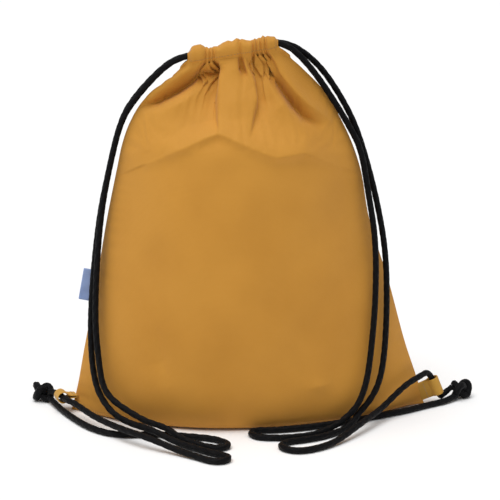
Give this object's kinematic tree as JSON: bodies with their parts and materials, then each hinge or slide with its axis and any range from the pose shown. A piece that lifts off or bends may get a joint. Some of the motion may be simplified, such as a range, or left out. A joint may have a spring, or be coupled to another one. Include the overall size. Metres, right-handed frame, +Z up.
{
  "type": "drawstring backpack",
  "caption": "Soft drawstring backpack standing upright, with a gathered mouth, black cords as shoulder straps through the hem, corner tabs, end knots and a small side label.",
  "frame": {"origin": "middle of the flat base that the bag stands on, in the plane of the two side seams", "axes": "+Z up, X along the bag's width with the label on the -X side, -Y is the front"},
  "size_m": [0.4499, 0.233, 0.3627],
  "materials": {
    "bag_cloth": "plain woven polyester, soft matt with a slight sheen",
    "drawcord": "braided round cord, satin",
    "thread": "sewing thread, satin",
    "label_tape": "woven tape, satin"
  },
  "bodies": {
    "root": {"front_panel": "bag_cloth", "back_panel": "bag_cloth", "back_casing": "bag_cloth", "left_seam_allowance": "bag_cloth", "right_seam_allowance": "bag_cloth", "bottom_seam_allowance": "bag_cloth", "back_hem_stitches": "thread", "left_cord_back_run": "drawcord", "right_cord_back_run": "drawcord", "left_cord_front_strand": "drawcord", "left_cord_back_strand": "drawcord", "right_cord_front_strand": "drawcord", "right_cord_back_strand": "drawcord", "left_knot": "drawcord", "right_knot": "drawcord", "left_knot_tails": "drawcord", "right_knot_tails": "drawcord"},
    "front_hem": {"front_casing": "bag_cloth", "front_hem_stitches": "thread", "left_cord_front_run": "drawcord", "right_cord_front_run": "drawcord"},
    "left_tab": {"left_tab": "bag_cloth", "left_tab_stitches": "thread"},
    "right_tab": {"right_tab": "bag_cloth", "right_tab_stitches": "thread"},
    "side_label": {"side_label": "label_tape"}
  },
  "joints": [
    {"name": "mouth_open", "type": "slide", "parent": "root", "child": "front_hem", "axis": [0, -1, 0], "range_m": [0, 0.018]},
    {"name": "left_tab_flap", "type": "hinge", "parent": "root", "child": "left_tab", "pos_m": [-0.1634, 0, 0.015], "axis": [0.2681, 0, 0.9634], "range_deg": [-6, 6]},
    {"name": "right_tab_flap", "type": "hinge", "parent": "root", "child": "right_tab", "pos_m": [0.1832, 0, 0.005], "axis": [-0.3821, 0, 0.9241], "range_deg": [-6, 6]},
    {"name": "label_flap", "type": "hinge", "parent": "root", "child": "side_label", "pos_m": [-0.1434, 0, 0.1085], "axis": [0.193, 0, 0.9812], "range_deg": [-75, 35]}
  ]
}
